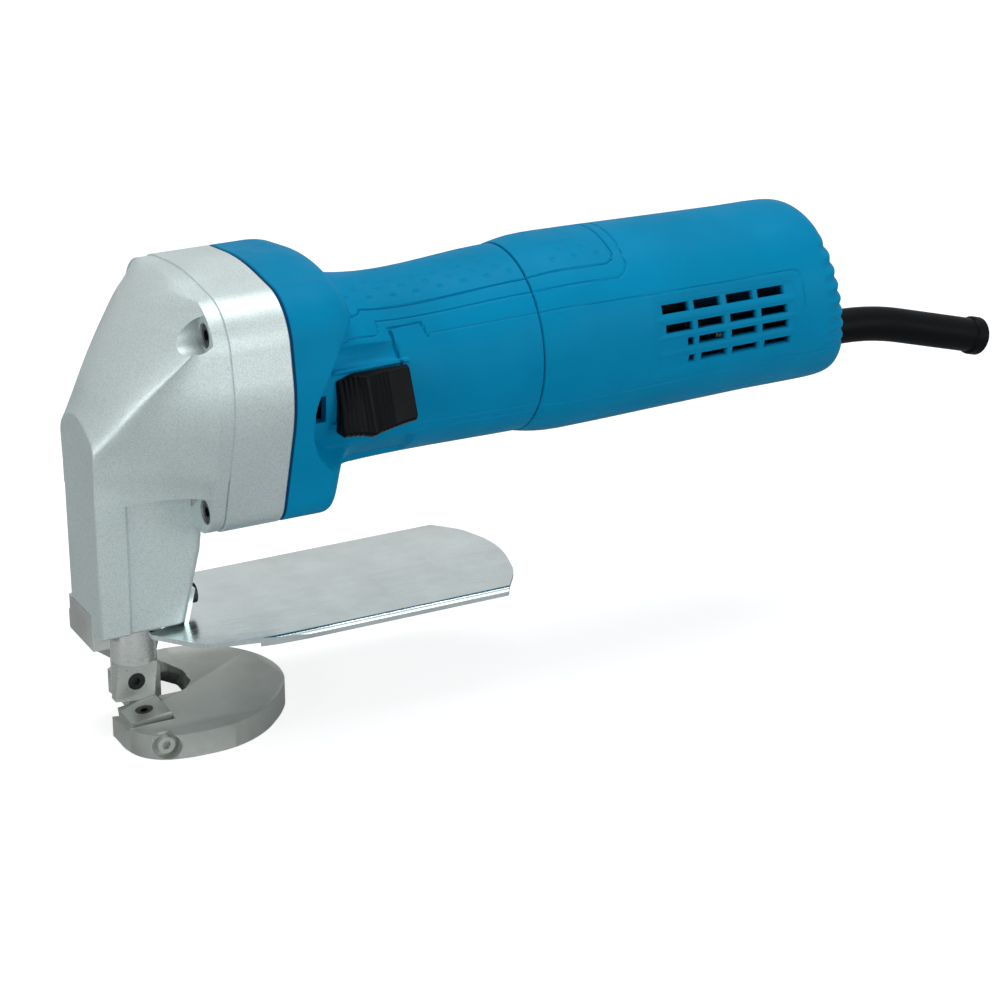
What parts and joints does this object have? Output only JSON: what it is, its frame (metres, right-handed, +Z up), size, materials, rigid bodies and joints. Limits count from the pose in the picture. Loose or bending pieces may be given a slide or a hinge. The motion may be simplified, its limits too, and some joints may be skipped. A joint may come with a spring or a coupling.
{
  "type": "electric sheet metal shear",
  "caption": "Corded electric shear for sheet metal: round blue motor grip, silver gear head, steel foot with square indexable blades and a chip deflector.",
  "frame": {"origin": "on the flat underside of the foot, on the tool's middle plane and 90 mm ahead of the seam between motor housing and rear cover", "axes": "+X runs back along the motor axis from the cutting head to the cord, +Z is up along the ram, +Y is to the tool's left when looking along the cut (away from the switch)"},
  "size_m": [0.3163, 0.0752, 0.1392],
  "materials": {
    "cast_head": "silver hammered enamel on cast aluminium",
    "blue_shell": "fine-grained moulded polyamide",
    "seal": "dark blue seal",
    "black_rubber": "soft black rubber",
    "black_plastic": "moulded black",
    "black_screw": "black oxide",
    "bright_screw": "zinc plated",
    "foot_steel": "machined and blasted steel",
    "blade_steel": "ground tool steel",
    "sheet_steel": "polished stainless sheet",
    "ground_steel": "ground",
    "die_cast": "bare die casting",
    "bronze": "sintered bronze",
    "laminations": "stacked sheet",
    "copper_wire": "enamelled copper wire",
    "carbon": "pressed carbon",
    "spring_steel": "wire",
    "yellow_film": "film capacitor case"
  },
  "bodies": {
    "root": {"gear_housing": "cast_head", "housing_gasket": "seal", "motor_housing": "blue_shell", "rear_cover": "blue_shell", "bearing_flange": "die_cast", "crank_bearing_plate": "die_cast", "bearing_plate_screws": "bright_screw", "crank_rear_bush": "bronze", "ram_guide_bush": "bronze", "ram_wiper_seal": "black_rubber", "front_bearing_outer_ring": "ground_steel", "rear_bearing_outer_ring": "ground_steel", "crank_bearing_outer_ring": "ground_steel", "rear_bearing_sleeve": "black_rubber", "gear_housing_screws": "black_screw", "rear_cover_screw": "black_screw", "foot": "foot_steel", "foot_screws": "black_screw", "lower_blade": "blade_steel", "lower_blade_screw": "black_screw", "blade_adjusting_screw": "black_screw", "deflector": "sheet_steel", "deflector_screw": "black_screw", "stator_core": "laminations", "stator_windings": "copper_wire", "brush_holders": "bronze", "carbon_brushes": "carbon", "brush_springs": "spring_steel", "switch_module": "black_plastic", "suppression_capacitor": "yellow_film", "cord_clamp": "black_plastic", "cord_boot": "black_rubber", "cord_clamp_screws": "bright_screw"},
    "armature": {"armature_shaft": "ground_steel", "armature_core": "laminations", "armature_windings": "copper_wire", "commutator": "copper_wire", "fan": "black_plastic", "pinion": "ground_steel", "front_bearing_inner_ring": "ground_steel", "rear_bearing_inner_ring": "ground_steel"},
    "crank": {"crank_shaft": "ground_steel", "drive_gear": "ground_steel", "gear_retaining_ring": "ground_steel", "crank_bearing_inner_ring": "ground_steel", "eccentric_roller": "ground_steel"},
    "ram": {"ram": "ground_steel", "upper_blade": "blade_steel", "upper_blade_screw": "black_screw"},
    "switch_slider": {"switch_slider": "black_plastic"},
    "switch_button": {"switch_button": "black_plastic"}
  },
  "joints": [
    {"name": "crank_spin", "type": "hinge", "parent": "root", "child": "crank", "pos_m": [-0.005, 0, 0.0845], "axis": [1, 0, 0], "continuous": true},
    {"name": "armature_spin", "type": "hinge", "parent": "root", "child": "armature", "pos_m": [0.06, 0, 0.102], "axis": [1, 0, 0], "continuous": true},
    {"name": "ram_slide", "type": "slide", "parent": "root", "child": "ram", "axis": [0, 0, 1], "range_m": [-0.0018, 0.0018]},
    {"name": "switch_slide", "type": "slide", "parent": "root", "child": "switch_slider", "axis": [-1, 0, 0], "range_m": [0, 0.005], "stiffness_N_per_m": 400},
    {"name": "switch_rock", "type": "hinge", "parent": "switch_slider", "child": "switch_button", "pos_m": [0.032, -0.0336, 0.102], "axis": [0, 0, -1], "range_deg": [0, 2.5], "stiffness_Nm_per_rad": 0.2}
  ],
  "couplings": [
    {"joint": "armature_spin", "follows": "crank_spin", "ratio": -5.4444}
  ]
}
